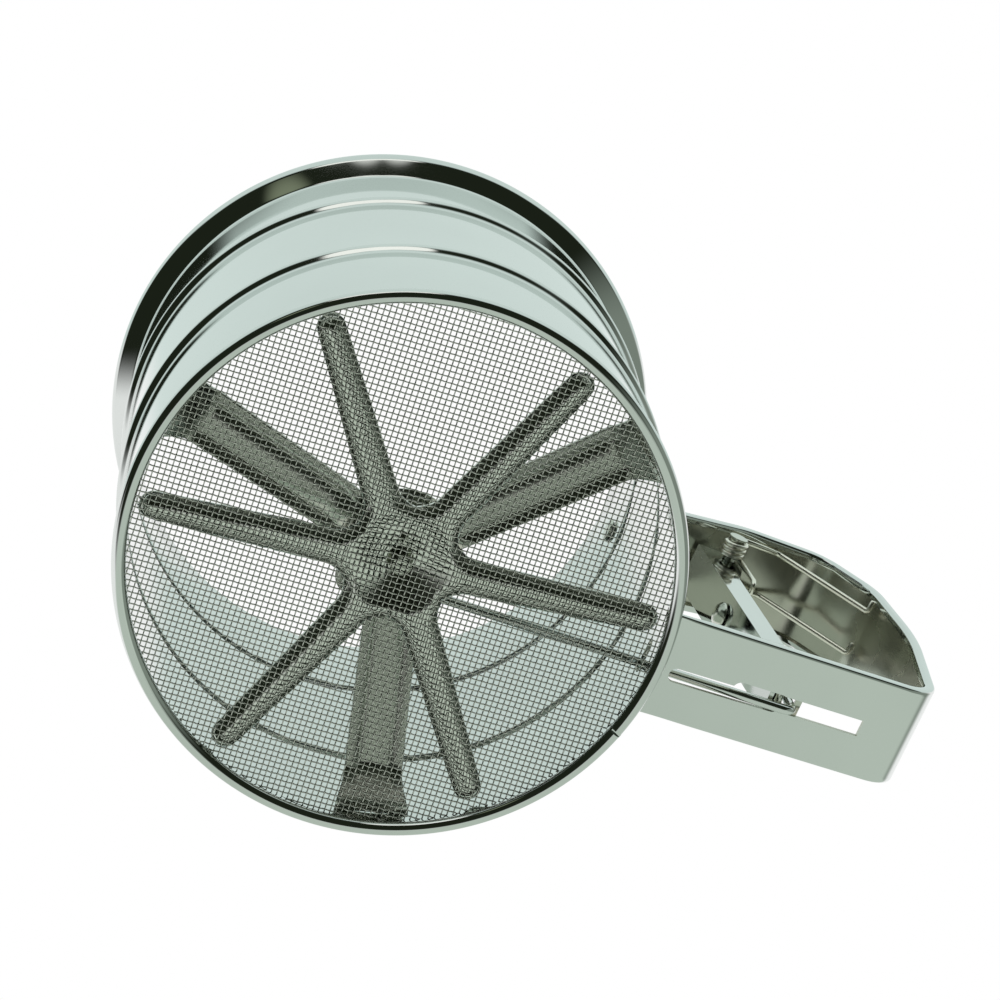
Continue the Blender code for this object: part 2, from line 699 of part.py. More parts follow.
def build_trigger():
    """Channel of bent sheet: web towards the cup, flanges away from it, ears round the pivot pin."""
    outline = trigger_outline(TRIGGER_DEPTH, EAR_R)
    lever = plate("trigger_lever", [outline, circle(PIVOT, PIN_HOLE_R, 20)], 2 * TRIGGER_HALF_W, 0.0,
                  "polished_steel", upright=True)
    inside = TRIGGER_HALF_W - TRIGGER_T
    middle, out = web_frame(40.0)
    centre = middle + out * (TRIGGER_T + 15.0)
    hollow = box("trigger_hollow", (-15.0, -inside, -60.0), (15.0, inside, 60.0))
    hollow.location = Vector(on_cup(centre.x, 0.0, centre.y)) * MM
    hollow.rotation_euler.y = math.atan2(-out.y, out.x)
    combine(lever, hollow, "DIFFERENCE")
    combine(lever, rivet_hole("trigger_rivet_hole"), "DIFFERENCE")


def rivet_hole(name):
    face, out = web_frame(RIVET_Z)
    start, end = face - out * 2.0, face + out * 5.0
    return cylinder(name, 1.5, (start.x, 0.0, start.y), (end.x, 0.0, end.y))


def build_tongue():
    """Strip riveted inside the trigger, its foot bent along the leg and holed for the rod's hook."""
    top, out = web_frame(TONGUE_TOP_Z)
    first = top + out * (TRIGGER_T + GAP)
    low, _ = web_frame(WEB_LOW[1])
    foot_z = leg_inner_z(0.0) + FOOT_GAP + TONGUE_T * math.hypot(1.0, LEG_SLOPE)
    corner_at = low + out * (TRIGGER_T + GAP)
    corner = (corner_at.x, foot_z + LEG_SLOPE * corner_at.x)
    end = (TONGUE_END_X, foot_z + LEG_SLOPE * TONGUE_END_X)
    path = rounded(((*first, 0.0), (*corner, 1.0), (*end, 0.0)), 3)
    section = [(-TONGUE_HALF_W, 0.0), (TONGUE_HALF_W, 0.0), (TONGUE_HALF_W, TONGUE_T),
               (-TONGUE_HALF_W, TONGUE_T)]
    path.reverse()
    strip = sweep("trigger_tongue", path, lambda here: section, "satin_steel", lambda *point: point)
    hole = capsule((ROD_OUT[0], ROD_OUT[1] - HOOK_DRIFT), ROD_OUT, ROD_R + 0.38)
    combine(strip, plate("tongue_hook_hole", [hole], 10.0, 15.0, None), "DIFFERENCE")
    combine(strip, rivet_hole("tongue_rivet_hole"), "DIFFERENCE")


def lying(name, profile, y, finish, steps=24):
    """A turned piece whose axis is the trigger's pivot, its profile measured along -Y from y."""
    made = turned(name, profile, finish, closed=False, steps=steps)
    made.location = Vector(on_cup(PIVOT[0], y, PIVOT[1])) * MM
    made.rotation_euler.x = math.pi / 2.0
    return made


def build_pin():
    """Pivot pin with a head outside the spring, and a clip at its other end."""
    length = PIN_Y[1] - PIN_Y[0]
    clip_at = (PIN_Y[1] - TRIGGER_HALF_W - GAP - 0.8, PIN_Y[1] - TRIGGER_HALF_W - GAP)
    groove = PIN_R - 0.3
    profile = [(0.0, length), (1.9, length), (1.9, length - 0.35), (PIN_R, length - 0.35),
               (PIN_R, clip_at[1]), (groove, clip_at[1]), (groove, clip_at[0]), (PIN_R, clip_at[0]),
               (PIN_R, 0.2), (PIN_R - 0.2, 0.0), (0.0, 0.0)]
    lying("pivot_pin", profile, PIN_Y[1], "satin_steel")
    low, high = clip_at[0] + 0.1, clip_at[1] - 0.1
    ring = [(groove + 0.15, high), (2.6, high), (2.6, low), (groove + 0.15, low), (groove + 0.15, high)]
    clip = lying("pivot_clip", ring[:-1], PIN_Y[1], "satin_steel")
    close_loop(clip)
    y_low, y_high = PIN_Y[1] - high - 1.0, PIN_Y[1] - low + 1.0
    mouth = box("pivot_clip_mouth", (PIVOT[0] - 0.8, y_low, PIVOT[1] - 4.0),
                (PIVOT[0] + 0.8, y_high, PIVOT[1]))
    combine(clip, mouth, "DIFFERENCE")


def close_loop(made):
    """Join the last point of a turned profile to its first."""
    work = bmesh.new()
    work.from_mesh(made.data)
    work.verts.ensure_lookup_table()
    work.edges.new((work.verts[-1], work.verts[0]))
    work.to_mesh(made.data)
    work.free()


def spring_points(coil_y, end_angle, turns, leg_y):
    """Long leg bent under the upper handle leg with its tip turned aside, then the coil on the pin.

    coil_y holds the coil's first and last y. leg_y holds the long leg's y at its bend, corner and tip.
    """
    points = [(SPRING_TIP[0], leg_y[2], SPRING_TIP[1]), (SPRING_CORNER[0], leg_y[1], SPRING_CORNER[1]),
              (SPRING_LEG[0], leg_y[0], SPRING_LEG[1])]
    start = 90.0 + SPRING_LEG_ANGLE
    total = turns * 360.0 + start - end_angle
    steps = round(total / 26.0)
    for i in range(steps + 1):
        share = i / steps
        angle = math.radians(start - total * share)
        y = coil_y[0] + (coil_y[1] - coil_y[0]) * share
        points.append((PIVOT[0] + SPRING_R * math.cos(angle), y, PIVOT[1] + SPRING_R * math.sin(angle)))
    return points


def build_springs():
    """One spring outside the trigger, hooked over its edge, and one inside, pressing on its web."""
    points = spring_points((-8.85, -5.45), 0.0, 3, (-7.4, -6.1, -8.2))
    y = points[-1][1]
    edge, out = web_frame(60.0)
    over = edge + out * (TRIGGER_DEPTH + GAP + SPRING_WIRE_R)
    points += [(over.x, y, over.y + 1.0), (over.x, y + 0.5, over.y),
               (over.x, 1.2 - TRIGGER_HALF_W, over.y)]
    wire("trigger_spring_outer", points, SPRING_WIRE_R, "bright_wire")
    points = spring_points((0.9, -1.45), -180.0, 1, (2.0, 3.3, 1.2))
    inside, out = web_frame(60.5)
    beside = inside + out * (TRIGGER_T + GAP + SPRING_WIRE_R)
    points.append((beside.x, points[-1][1], beside.y))
    wire("trigger_spring_inner", points, SPRING_WIRE_R, "bright_wire")


def build_all():
    build_cup()
    build_mesh_ring()
    build_mesh_screen()
    build_spider()
    build_agitator()
    build_shaft()
    build_crank()
    build_rod()
    build_handle()
    build_bracket()
    build_trigger()
    build_tongue()
    build_rivets()
    build_pin()
    build_springs()
    bpy.context.view_layer.update()


build_all()
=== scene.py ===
"""Looks for the flour sifter: polished sheet steel, woven wire mesh and soft studio light.

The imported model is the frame. The cup stands on its mesh end, its axis is vertical and the handle reaches
out along +X. Lengths are in millimetres in the row frame unless a name says otherwise.
"""
import json
import math

import bmesh
import bpy
import numpy as np
from mathutils import Matrix, Vector


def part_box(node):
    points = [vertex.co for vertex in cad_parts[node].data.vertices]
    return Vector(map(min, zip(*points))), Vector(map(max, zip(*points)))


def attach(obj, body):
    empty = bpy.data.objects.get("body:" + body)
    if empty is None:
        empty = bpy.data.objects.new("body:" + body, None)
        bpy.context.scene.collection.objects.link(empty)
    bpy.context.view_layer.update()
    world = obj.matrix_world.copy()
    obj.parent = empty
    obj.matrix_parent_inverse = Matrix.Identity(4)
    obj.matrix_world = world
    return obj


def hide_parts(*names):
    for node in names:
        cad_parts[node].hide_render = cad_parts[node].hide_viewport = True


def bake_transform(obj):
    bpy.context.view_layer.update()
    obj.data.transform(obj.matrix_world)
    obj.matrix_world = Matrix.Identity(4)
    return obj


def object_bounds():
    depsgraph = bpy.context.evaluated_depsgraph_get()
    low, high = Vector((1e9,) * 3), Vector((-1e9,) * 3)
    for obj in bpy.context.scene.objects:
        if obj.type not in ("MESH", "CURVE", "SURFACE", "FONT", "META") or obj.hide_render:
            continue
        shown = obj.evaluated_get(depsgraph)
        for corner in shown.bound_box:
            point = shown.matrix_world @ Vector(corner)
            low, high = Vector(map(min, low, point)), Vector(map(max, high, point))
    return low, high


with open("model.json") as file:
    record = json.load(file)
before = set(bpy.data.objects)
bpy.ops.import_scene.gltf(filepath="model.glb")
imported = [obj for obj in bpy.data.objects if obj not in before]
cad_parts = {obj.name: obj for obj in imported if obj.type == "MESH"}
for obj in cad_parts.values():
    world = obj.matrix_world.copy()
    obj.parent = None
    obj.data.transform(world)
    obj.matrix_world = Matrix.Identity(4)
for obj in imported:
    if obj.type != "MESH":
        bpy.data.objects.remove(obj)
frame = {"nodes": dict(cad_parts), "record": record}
cad_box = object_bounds()

MM = 0.001


def node_box(name):
    """A CAD node's lowest and highest corners in millimetres."""
    low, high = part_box(name)
    return low / MM, high / MM


def joint(name):
    return next(j for j in frame["record"]["behaviour"]["joints"] if j["name"] == name)


CUP_AXIS = Vector(joint("agitator_turn")["pos_m"]) / MM
CUP_X = CUP_AXIS.x

# Camera: below the mesh end, looking up the cup's axis
CAMERA_AT = (-134.11, -180.03, -594.96)
CAMERA_TURN = (161.827, 4.054, -23.975)
CAMERA_LENS = 131.6

# Colours, linear
STEEL = (0.74, 0.77, 0.75)
ROTOR_STEEL = (0.78, 0.80, 0.74)
DARK_STEEL = (0.62, 0.64, 0.57)
# Darker tone for the handle's faces inside its loop: painted shade
INNER_STEEL_PAINTED_SHADE = (0.56, 0.56, 0.48)
WIRE_STEEL = (0.84, 0.84, 0.78)
# Painted shade laid on the mesh wire's flanks and on its side facing into the cup
WIRE_PAINTED_SHADE = (0.07, 0.08, 0.06)
SPRING_STEEL = (0.88, 0.86, 0.76)

# What the steel mirrors: a pale tent with a dark room behind the camera. Each patch of the tent is laid over
# the ones before it: azimuth from the camera's side and elevation, inner and outer edge, all in degrees,
# and its colour.
STUDIO_WHITE = (1.0, 1.0, 1.0)
STUDIO_PALE = (0.72, 0.82, 0.79)
STUDIO_DARK = (0.014, 0.018, 0.011)
STUDIO_SOFTBOX = (1.15, 1.15, 1.1)
STUDIO_PATCHES = (
    (0.0, 90.0, 80.0, 87.0, STUDIO_PALE),
    (-25.0, 13.0, 40.0, 54.0, STUDIO_DARK),
    (25.0, 13.0, 40.0, 54.0, STUDIO_DARK),
    (-74.0, 14.0, 18.0, 30.0, STUDIO_DARK),
    (74.0, 16.0, 14.0, 26.0, STUDIO_DARK),
    (-25.0, 36.0, 2.0, 8.0, (0.22, 0.25, 0.17)),
    (-14.0, 54.0, 5.0, 8.0, STUDIO_SOFTBOX),
    (0.0, 54.0, 5.0, 8.0, STUDIO_SOFTBOX),
    (14.0, 54.0, 5.0, 8.0, STUDIO_SOFTBOX),
    (84.0, -30.0, 30.0, 52.0, (0.24, 0.28, 0.24)),
    (36.0, -38.0, 8.0, 22.0, (0.60, 0.68, 0.60)),
    (0.0, -90.0, 54.0, 62.0, (0.56, 0.63, 0.56)),
)

SHARP_DEG = 40


# ---------------------------------------------------------------- materials


def new_material(name):
    made = bpy.data.materials.new(name)
    made.use_nodes = True
    tree = made.node_tree
    return made, tree, tree.nodes["Principled BSDF"]


def link(tree, start, end):
    tree.links.new(start, end)


def noise(tree, scale, detail):
    """A noise texture over the piece's own coordinates, in metres."""
    place = tree.nodes.new("ShaderNodeTexCoord")
    texture = tree.nodes.new("ShaderNodeTexNoise")
    texture.inputs["Scale"].default_value = scale
    texture.inputs["Detail"].default_value = detail
    link(tree, place.outputs["Object"], texture.inputs["Vector"])
    return texture.outputs["Fac"]


def remap(tree, value, low, high, from_low=0.3, from_high=0.7):
    """Stretch a value from one range on to another, held at its ends."""
    made = tree.nodes.new("ShaderNodeMapRange")
    made.inputs["From Min"].default_value = from_low
    made.inputs["From Max"].default_value = from_high
    made.inputs["To Min"].default_value = low
    made.inputs["To Max"].default_value = high
    link(tree, value, made.inputs["Value"])
    return made.outputs["Result"]


def mix_colour(tree, factor, first, second):
    """Blend two colours, each a plain tuple or another node's output."""
    made = tree.nodes.new("ShaderNodeMix")
    made.data_type = "RGBA"
    link(tree, factor, made.inputs["Factor"])
    for socket, value in (("A", first), ("B", second)):
        if isinstance(value, tuple):
            made.inputs[socket].default_value = (*value, 1.0)
        else:
            link(tree, value, made.inputs[socket])
    return made.outputs["Result"]


def bump(tree, strength, depth, height):
    made = tree.nodes.new("ShaderNodeBump")
    made.inputs["Strength"].default_value = strength
    made.inputs["Distance"].default_value = depth * MM
    link(tree, height, made.inputs["Height"])
    return made


def steel(name, colour, roughness, waviness, grain_depth=0.0):
    """Metal with cloudy roughness, faint tone changes, slow waviness and, if asked, a fine drawn grain."""
    made, tree, shader = new_material(name)
    shader.inputs["Metallic"].default_value = 1.0
    cloud = noise(tree, 55.0, 4.0)
    link(tree, remap(tree, cloud, roughness * 0.7, roughness * 1.45), shader.inputs["Roughness"])
    duller = tuple(c * 0.93 for c in colour)
    tone = mix_colour(tree, remap(tree, noise(tree, 24.0, 3.0), 0.0, 1.0), duller, colour)
    link(tree, tone, shader.inputs["Base Color"])
    last = bump(tree, 0.35, waviness, noise(tree, 60.0, 1.0))
    if grain_depth:
        fine = bump(tree, 0.5, grain_depth, noise(tree, 1500.0, 3.0))
        link(tree, last.outputs["Normal"], fine.inputs["Normal"])
        last = fine
    link(tree, last.outputs["Normal"], shader.inputs["Normal"])
    return made


def mesh_wire_steel():
    """Drawn wire, bright on the outside of the screen, with painted shade darkening its flanks and its side
    facing into the cup.
    """
    made = steel("mesh_wire", WIRE_STEEL, 0.18, 0.0)
    tree = made.node_tree
    shader = tree.nodes["Principled BSDF"]
    bright = shader.inputs["Base Color"].links[0].from_socket
    side = tree.nodes.new("ShaderNodeSeparateXYZ")
    link(tree, tree.nodes.new("ShaderNodeTexCoord").outputs["Normal"], side.inputs["Vector"])
    # Painted shade: the wire's flanks, picked by their normal's x, are painted dark
    front = mix_colour(tree, remap(tree, side.outputs["X"], 1.0, 0.0, -0.8, -0.1), bright, WIRE_PAINTED_SHADE)
    front = mix_colour(tree, remap(tree, side.outputs["X"], 0.0, 1.0, 0.1, 0.8), front, WIRE_PAINTED_SHADE)
    # Painted shade: the wire's side facing up into the cup is painted dark
    inner = remap(tree, side.outputs["Z"], 0.0, 1.0, -0.1, 0.3)
    link(tree, mix_colour(tree, inner, front, WIRE_PAINTED_SHADE), shader.inputs["Base Color"])
    return made


POLISHED = steel("polished_steel", STEEL, 0.055, 0.03)
SATIN = steel("satin_steel", DARK_STEEL, 0.12, 0.02, 0.003)
# Rougher steel whose darker colour is painted shade inside the handle's loop
INNER = steel("inner_steel_painted_shade", INNER_STEEL_PAINTED_SHADE, 0.24, 0.03)
ROTOR = steel("rotor_steel", ROTOR_STEEL, 0.08, 0.02)
WIRE = mesh_wire_steel()
ROD = steel("rod_wire", STEEL, 0.10, 0.0, 0.002)
SPRING = steel("spring_wire", SPRING_STEEL, 0.24, 0.0, 0.002)

FINISH_OF_SLOT = {"polished_steel": POLISHED, "satin_steel": SATIN, "mesh_wire": WIRE,
                  "bright_wire": SPRING}


def dress_cad_nodes():
    """Give each carried CAD node the steel of its record slot."""
    for part in frame["record"]["subparts"]:
        node = frame["nodes"][part["node"]]
        for place in node.material_slots:
            place.material = FINISH_OF_SLOT[part["material_slot"]]


# ---------------------------------------------------------------- mesh helpers


def show(name, mesh, body, material, slot, *replaced):
    """Link a finished mesh in row-frame millimetres, ride it on its body and hide what it replaces."""
    mesh.transform(Matrix.Scale(MM, 4))
    mesh.materials.clear()
    mesh.materials.append(material)
    made = bpy.data.objects.new(name, mesh)
    bpy.context.scene.collection.objects.link(made)
    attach(made, body)
    if replaced:
        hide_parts(*replaced)
    return made


def mesh_from(name, points, faces, smooth=True, sharp=None):
    """A mesh with its doubles merged and its faces turned outwards, sharp above that many degrees."""
    mesh = bpy.data.meshes.new(name)
    mesh.from_pydata([tuple(p) for p in points], [], faces)
    mesh.validate()
    work = bmesh.new()
    work.from_mesh(mesh)
    bmesh.ops.remove_doubles(work, verts=work.verts, dist=0.0005)
    bmesh.ops.recalc_face_normals(work, faces=work.faces)
    work.to_mesh(mesh)
    work.free()
    if smooth:
        mesh.shade_smooth()
        if sharp is not None:
            mesh.set_sharp_from_angle(angle=math.radians(sharp))
    return mesh


def thickness(made, amount):
    """Give an open sheet thickness on its upper side."""
    side = sum(p.normal.z * p.area for p in made.data.polygons)
    solid = made.modifiers.new("sheet", "SOLIDIFY")
    solid.thickness = amount * MM
    solid.offset = 1.0 if side > 0 else -1.0
    solid.use_even_offset = True


def turned(name, profile, body, material, slot, steps, replaced=()):
    """Turn a closed (radius, z) profile round the cup's axis."""
    points, faces = [], []
    count = len(profile)
    for i in range(steps):
        a = math.tau * i / steps
        for r, z in profile:
            points.append((CUP_X + r * math.cos(a), r * math.sin(a), z))
    for i in range(steps):
        n = (i + 1) % steps
        for j in range(count):
            k = (j + 1) % count
            faces.append((i * count + j, i * count + k, n * count + k, n * count + j))
    mesh = mesh_from(name, points, faces, True, SHARP_DEG)
    return show(name, mesh, body, material, slot, *replaced)


def arc(centre, radius, start, end, steps):
    """Points (a, b) on an arc, angles in degrees."""
    turns = [math.radians(start + (end - start) * i / steps) for i in range(steps + 1)]
    return [(centre[0] + radius * math.cos(a), centre[1] + radius * math.sin(a)) for a in turns]


def cut(made, points, faces):
    """Cut a closed shape out of a shown piece for good."""
    tool = bpy.data.objects.new("cutter", mesh_from("cutter", points, faces, False))
    bpy.context.scene.collection.objects.link(tool)
    step = made.modifiers.new("cut", "BOOLEAN")
    step.object = tool
    step.solver = "EXACT"
    tool.data.transform(Matrix.Scale(MM, 4))
    bpy.context.view_layer.update()
    cut_mesh = bpy.data.meshes.new_from_object(made.evaluated_get(bpy.context.evaluated_depsgraph_get()))
    made.modifiers.remove(step)
    old = made.data
    made.data = cut_mesh
    bpy.data.meshes.remove(old)
    cut_mesh.name = made.name
    bpy.data.meshes.remove(tool.data)


def prism(loop, place, low, high):
    """Points and faces of a closed prism: loop (a, b) placed at two depths by place(a, b, depth)."""
    count = len(loop)
    points = [place(a, b, depth) for depth in (low, high) for a, b in loop]
    faces = [tuple(range(count)), tuple(reversed(range(count, 2 * count)))]
    faces += [(j, (j + 1) % count, count + (j + 1) % count, count + j) for j in range(count)]
    return points, faces


def capsule(start, end, radius, steps=12):
    """A closed loop round a straight run from start to end."""
    run = math.degrees(math.atan2(end[1] - start[1], end[0] - start[0]))
    far = arc(end, radius, run - 90.0, run + 90.0, steps)
    return far + arc(start, radius, run + 90.0, run + 270.0, steps)


def tube(path, radius, sides=16):
    """A round wire along a path of points from the cup's axis, with domed ends."""
    path = [Vector(p) + Vector((CUP_X, 0.0, 0.0)) for p in path]
    last = len(path) - 1
    tangents = [(path[min(i + 1, last)] - path[max(i - 1, 0)]).normalized() for i in range(len(path))]
    across = tangents[0].orthogonal().normalized()
    rows = []
    for i, (here, along) in enumerate(zip(path, tangents)):
        across = (across - along * across.dot(along)).normalized()
        other = along.cross(across)
        ends = [(-0.95, 0.3), (-0.6, 0.8)] if i == 0 else []
        tails = [(0.6, 0.8), (0.95, 0.3)] if i == last else []
        for shift, share in ends + [(0.0, 1.0)] + tails:
            middle = here + along * (shift * radius * 0.6)
            rows.append([middle + (across * math.cos(a) + other * math.sin(a)) * radius * share
                         for a in (math.tau * k / sides for k in range(sides))])
    points = [p for row in rows for p in row]
    faces = []
    for i in range(len(rows) - 1):
        for k in range(sides):
            n = (k + 1) % sides
            faces.append((i * sides + k, i * sides + n, (i + 1) * sides + n, (i + 1) * sides + k))
    faces.append(tuple(reversed(range(sides))))
    faces.append(tuple(range((len(rows) - 1) * sides, len(rows) * sides)))
    return points, faces


def rounded(corners, steps=10):
    """A path through corners (point, bend radius), in two or three dimensions."""
    points = [Vector(corners[0][0])]
    for (before, _), (corner, radius), (after, _) in zip(corners, corners[1:], corners[2:]):
        here = Vector(corner)
        back, ahead = (Vector(before) - here).normalized(), (Vector(after) - here).normalized()
        half = back.angle(ahead) / 2.0
        reach = radius / math.tan(half)
        centre = here + (back + ahead).normalized() * (radius / math.sin(half))
        first, last = here + back * reach - centre, here + ahead * reach - centre
        sweep = first.angle(last)
        for i in range(steps + 1):
            share = i / steps
            points.append(centre + (first * math.sin((1.0 - share) * sweep)
                                    + last * math.sin(share * sweep)) / math.sin(sweep))
    points.append(Vector(corners[-1][0]))
    return points


# ---------------------------------------------------------------- woven mesh


MESH_PITCH = 1.0
MESH_TURN = math.radians(-5.5)
MESH_SHORT = 0.2
WIRE_CORNERS = 4
WIRE_CORNER_R = 0.143
WEFT_CRIMP, WARP_CRIMP = 0.15, 0.09


def weave_wires(radius, z, turn, crimp, phase):
    """Vertices and faces of parallel crimped wires filling a disc. They run along local x."""
    points, faces = [], []
    step = MESH_PITCH / 2.0
    count = int(radius // MESH_PITCH)
    cos, sin = math.cos(turn), math.sin(turn)
    for line in range(-count, count + 1):
        y = line * MESH_PITCH
        half = math.sqrt(max(radius ** 2 - y ** 2, 0.0))
        steps = int(half // step)
        if steps < 2:
            continue
        start = len(points)
        sign = (-1.0) ** line * phase
        for i in range(-steps, steps + 1):
            x = i * step
            lift = crimp * sign * math.cos(math.pi * x / MESH_PITCH)
            for k in range(WIRE_CORNERS):
                angle = math.pi / 2.0 * k + math.pi / 4.0
                side = y + WIRE_CORNER_R * math.cos(angle)
                height = z + lift + WIRE_CORNER_R * math.sin(angle)
                points.append((CUP_X + x * cos - side * sin, x * sin + side * cos, height))
        for i in range(2 * steps):
            a = start + WIRE_CORNERS * i
            b = a + WIRE_CORNERS
            for k in range(WIRE_CORNERS):
                j = (k + 1) % WIRE_CORNERS
                faces.append((a + k, a + j, b + j, b + k))
        faces.append(tuple(start + k for k in reversed(range(WIRE_CORNERS))))
        end = start + 2 * steps * WIRE_CORNERS
        faces.append(tuple(end + k for k in range(WIRE_CORNERS)))
    return points, faces


def plain_mesh(name, points, faces):
    """A smooth mesh whose vertices and face directions are already right."""
    mesh = bpy.data.meshes.new(name)
    mesh.from_pydata(points, [], faces)
    mesh.update()
    mesh.shade_smooth()
    return mesh


def build_weave():
    """Weft and warp threads across the screen, each set passing over and under the other."""
    low, high = node_box("mesh_screen")
    radius, z = (high.x - low.x) / 2.0 - MESH_SHORT, (low.z + high.z) / 2.0
    points, faces = weave_wires(radius, z, MESH_TURN, WEFT_CRIMP, 1.0)
    show("mesh_weft", plain_mesh("mesh_weft", points, faces), "sifter", WIRE, "mesh_wire", "mesh_screen")
    points, faces = weave_wires(radius, z, MESH_TURN + math.pi / 2.0, WARP_CRIMP, -1.0)
    show("mesh_warp", plain_mesh("mesh_warp", points, faces), "sifter", WIRE, "mesh_wire")


# ---------------------------------------------------------------- agitator


ARMS = 6
ARM_PHASE = math.radians(-9.0)
ARM_TIP_R = 46.5
ARM_ACROSS = 20
HUB_X, HUB_HALF = 9.0, 5.196
WEB_X, WEB_HALF, WEB_PULL = 13.6, 3.25, 0.35
ARM_TIP_HALF = 2.55
EDGE_R = 2.55
AGITATOR_SHEET = 0.35
DISH_R, DISH_DEPTH = 9.4, 1.6


def arm_half_width(x):
    """Half width of an agitator arm's outline at a distance from the axis."""
    if x <= HUB_X:
        return x * HUB_HALF / HUB_X
    if x <= WEB_X:
        t = (x - HUB_X) / (WEB_X - HUB_X)
        control = WEB_HALF - WEB_PULL
        return (1 - t) ** 2 * HUB_HALF + 2 * t * (1 - t) * control + t * t * WEB_HALF
    straight = ARM_TIP_R - ARM_TIP_HALF
    half = WEB_HALF + (ARM_TIP_HALF - WEB_HALF) * (min(x, straight) - WEB_X) / (straight - WEB_X)
    if x > straight:
        half *= math.sqrt(max(1.0 - ((x - straight) / ARM_TIP_HALF) ** 2, 0.0))
    return half


def agitator_outline():
    """Dense points all the way round the outline, for distances to it."""
    points = []
    straight = ARM_TIP_R - ARM_TIP_HALF
    xs = np.concatenate([np.linspace(HUB_X, WEB_X, 14), np.linspace(WEB_X, straight, 60),
                         straight + ARM_TIP_HALF * np.sin(np.linspace(0, math.pi / 2, 16))])
    for arm in range(ARMS):
        turn = ARM_PHASE + arm * math.tau / ARMS
        for side in (-1.0, 1.0):
            for x in xs:
                y = side * arm_half_width(x)
                points.append((x * math.cos(turn) - y * math.sin(turn),
                               x * math.sin(turn) + y * math.cos(turn)))
    return np.array(points)


def build_agitator():
    """Pressed sheet: a dished hub and six half-round arms whose edges roll away from the mesh."""
    low, high = node_box("agitator")
    straight = ARM_TIP_R - ARM_TIP_HALF
    outline = agitator_outline()
    rise = (high.z - low.z) - AGITATOR_SHEET
    xs = list(np.linspace(0.0, HUB_X, 19)) + list(np.linspace(HUB_X, WEB_X, 11)[1:])
    xs += list(np.linspace(WEB_X, straight, 24)[1:])
    xs += list(straight + ARM_TIP_HALF * np.sin(np.linspace(0, math.pi / 2, 9)[1:]))
    points, faces = [], []
    for arm in range(ARMS):
        turn = ARM_PHASE + arm * math.tau / ARMS
        start = len(points)
        for x in xs:
            half = arm_half_width(x)
            for j in range(ARM_ACROSS + 1):
                y = half * math.sin(math.pi / 2.0 * (2.0 * j / ARM_ACROSS - 1.0))
                px = x * math.cos(turn) - y * math.sin(turn)
                py = x * math.sin(turn) + y * math.cos(turn)
                away = float(np.min(np.hypot(outline[:, 0] - px, outline[:, 1] - py)))
                if x > HUB_X and j in (0, ARM_ACROSS) or x >= ARM_TIP_R - 1e-6:
                    away = 0.0
                roll = 1.0 - math.sqrt(max(1.0 - (1.0 - min(away / EDGE_R, 1.0)) ** 2, 0.0))
                inward = min(max(1.0 - math.hypot(px, py) / DISH_R, 0.0), 0.8)
                points.append((CUP_X + px, py, low.z + max(rise * roll, DISH_DEPTH * inward)))
        row = ARM_ACROSS + 1
        for i in range(len(xs) - 1):
            for j in range(ARM_ACROSS):
                a = start + i * row + j
                faces.append((a, a + 1, a + row + 1, a + row))
    mesh = mesh_from("agitator_pressed", points, faces)
    thickness(show("agitator_pressed", mesh, "rotor", ROTOR, "polished_steel", "agitator"), AGITATOR_SHEET)


# ---------------------------------------------------------------- spider


SPIDER_PHASE = math.radians(72.8)
SPIDER_SHEET = 0.8
SPIDER_PRESS_DEPTH = 1.2
SPIDER_ARMS = 3
SPIDER_ARM_X = (8.0, 40.6)
SPIDER_ROOT_HALF, SPIDER_FLARE = 4.55, 0.55
SPIDER_GROOVES = (-2.75, 2.75)
GROOVE_HALF, GROOVE_DEPTH = 0.5, 0.42
CHANNEL_DEPTH = 0.95
PRESSED_X = (11.5, 42.6)
# Along an arm's bent foot: distance from the axis, drop and half width
SPIDER_FOOT = ((41.2, 0.0, 5.1), (42.2, 0.12, 5.15), (43.0, 0.6, 5.25), (44.4, 2.0, 5.6), (45.8, 3.4, 6.1),
               (46.6, 4.3, 6.4), (46.95, 5.0, 6.5), (47.0, 5.6, 6.55))
# The hub's underside: radius and rise
SPIDER_HUB = ((2.2, 0.9), (2.2, 0.0), (4.0, 0.0), (6.0, 0.0), (9.6, 0.0), (10.6, 0.1), (11.0, 0.4),
              (11.0, 0.8))


